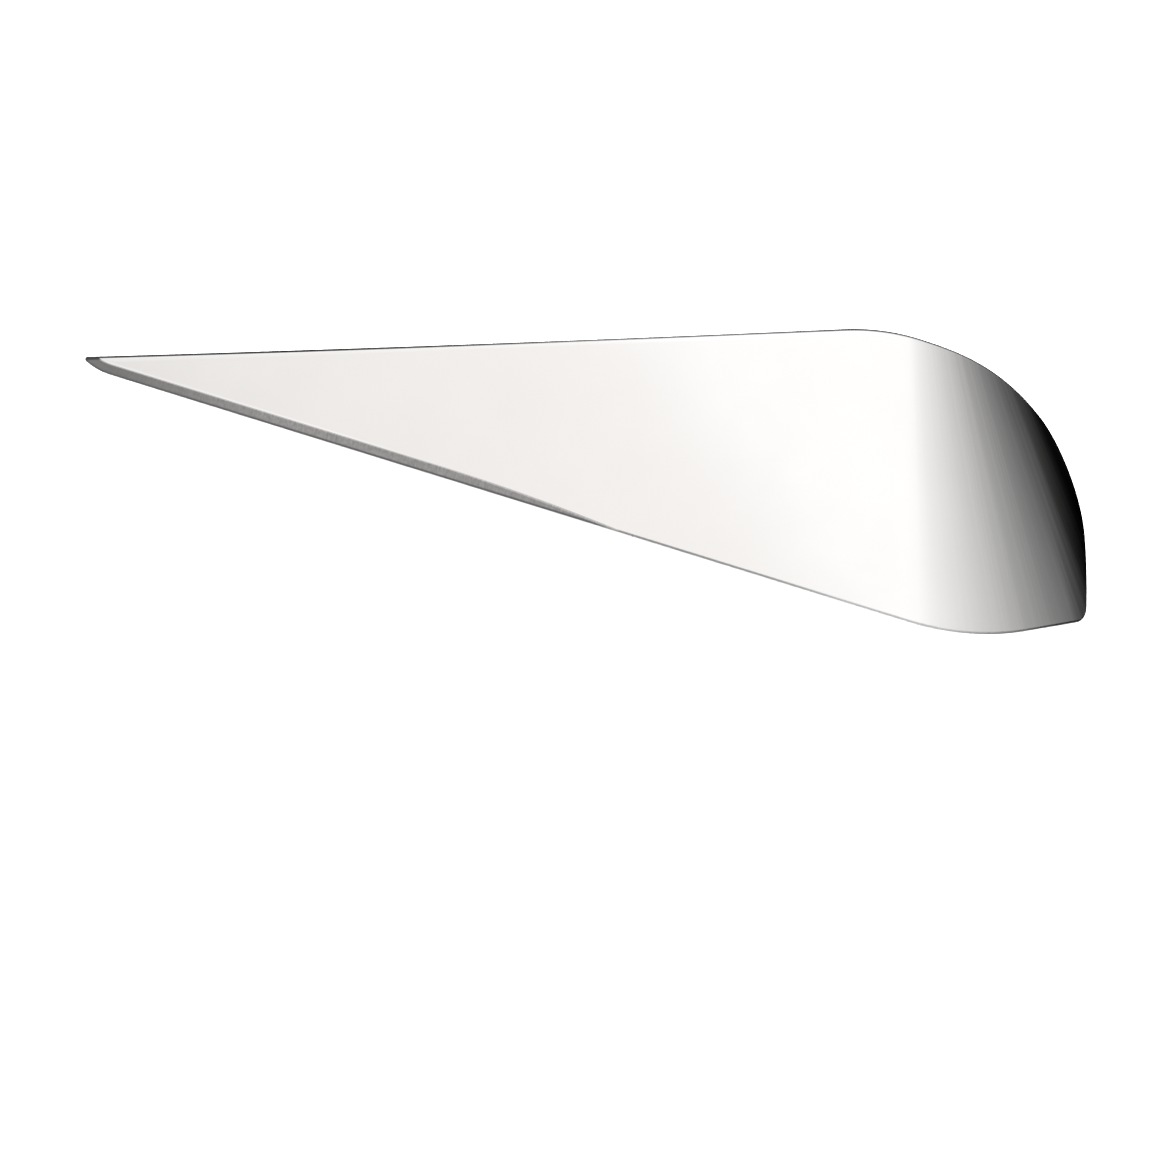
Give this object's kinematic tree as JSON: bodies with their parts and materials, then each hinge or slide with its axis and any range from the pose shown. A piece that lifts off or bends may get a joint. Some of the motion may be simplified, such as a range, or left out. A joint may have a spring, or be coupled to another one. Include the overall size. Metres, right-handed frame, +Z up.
{
  "type": "cheese knife",
  "caption": "One-piece cheese knife: a flat triangular steel blade with a pointed nose and a ground edge, its wide end rolled into a curled handle.",
  "frame": {"origin": "centre of the bottom of the bounding box, on the surface that the knife lies on", "axes": "+X from the nose towards the curled handle, +Y from the cutting edge towards the spine, +Z up; the knife lies on its nose and on the end of its curl, outer side up"},
  "size_m": [0.2042, 0.0584, 0.028],
  "materials": {
    "polished_steel": "mirror-polished solid stainless steel, not plated, with a satin ground band along the cutting edge"
  },
  "bodies": {
    "root": {"knife_body": "polished_steel"}
  },
  "joints": []
}
